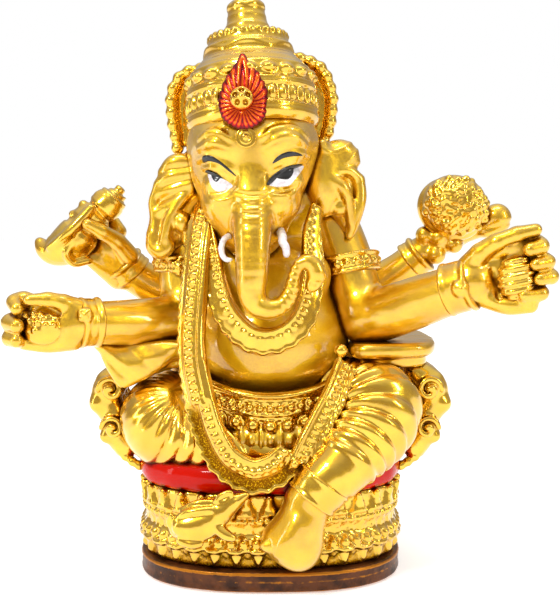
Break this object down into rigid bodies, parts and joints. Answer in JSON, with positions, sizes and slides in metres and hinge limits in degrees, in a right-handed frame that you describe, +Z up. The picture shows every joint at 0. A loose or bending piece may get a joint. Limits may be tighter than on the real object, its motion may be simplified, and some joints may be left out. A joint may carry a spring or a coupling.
{
  "type": "seated elephant-headed deity idol",
  "caption": "Gilded resin idol of a seated four-armed elephant-headed deity on a cushioned lotus pedestal and oval plinth.",
  "frame": {"origin": "centre of the plinth's flat underside, on the surface that the idol stands on", "axes": "+Z up; the idol faces -Y; +X is on the right of someone facing the idol"},
  "size_m": [0.1376, 0.065, 0.1494],
  "materials": {
    "satin_gold": "gold lacquer over cast resin, satin, with darker wax left in the hollows",
    "bright_gold": "polished gold lacquer over cast resin, with darker wax left in the hollows",
    "red_enamel": "thick glossy red enamel paint",
    "flame_enamel": "translucent red enamel over gold, darker at the rim",
    "brown_lacquer": "dark brown lacquer with gold rubbed on the rims",
    "white_enamel": "white enamel paint",
    "steel": "plain drawn wire"
  },
  "bodies": {
    "root": {"anklet": "bright_gold", "armlet_left": "bright_gold", "armlet_right": "bright_gold", "armrest_left": "satin_gold", "armrest_right": "satin_gold", "arm_pin_front_left": "steel", "arm_pin_front_right": "steel", "arm_pin_rear_left": "steel", "arm_pin_rear_right": "steel", "bracelet_front_left": "bright_gold", "bracelet_front_right": "bright_gold", "bracelet_rear_left": "bright_gold", "bracelet_rear_right": "bright_gold", "centre_pin": "steel", "conch": "bright_gold", "crown": "bright_gold", "crown_fan_left": "bright_gold", "crown_fan_right": "bright_gold", "crown_pin": "steel", "ear_left": "satin_gold", "ear_right": "satin_gold", "flame_jewel": "flame_enamel", "fluted_sweet": "satin_gold", "folded_leg": "bright_gold", "forehead_disc": "satin_gold", "front_left_arm": "satin_gold", "front_right_arm": "satin_gold", "hanging_leg": "satin_gold", "head": "satin_gold", "jewel_rosette": "satin_gold", "lotus_bud": "bright_gold", "lotus_pedestal": "bright_gold", "mouse": "bright_gold", "neck_pin": "steel", "necklace": "bright_gold", "plinth": "brown_lacquer", "rear_left_arm": "satin_gold", "rear_right_arm": "satin_gold", "sash": "bright_gold", "seat_cushion": "red_enamel", "sweet_pile": "satin_gold", "throne_back": "satin_gold", "throne_side_left": "bright_gold", "throne_side_right": "bright_gold", "torso": "satin_gold", "tusk_left": "white_enamel", "tusk_right": "white_enamel", "waist_belt": "bright_gold", "waist_cloth": "bright_gold"}
  },
  "joints": []
}
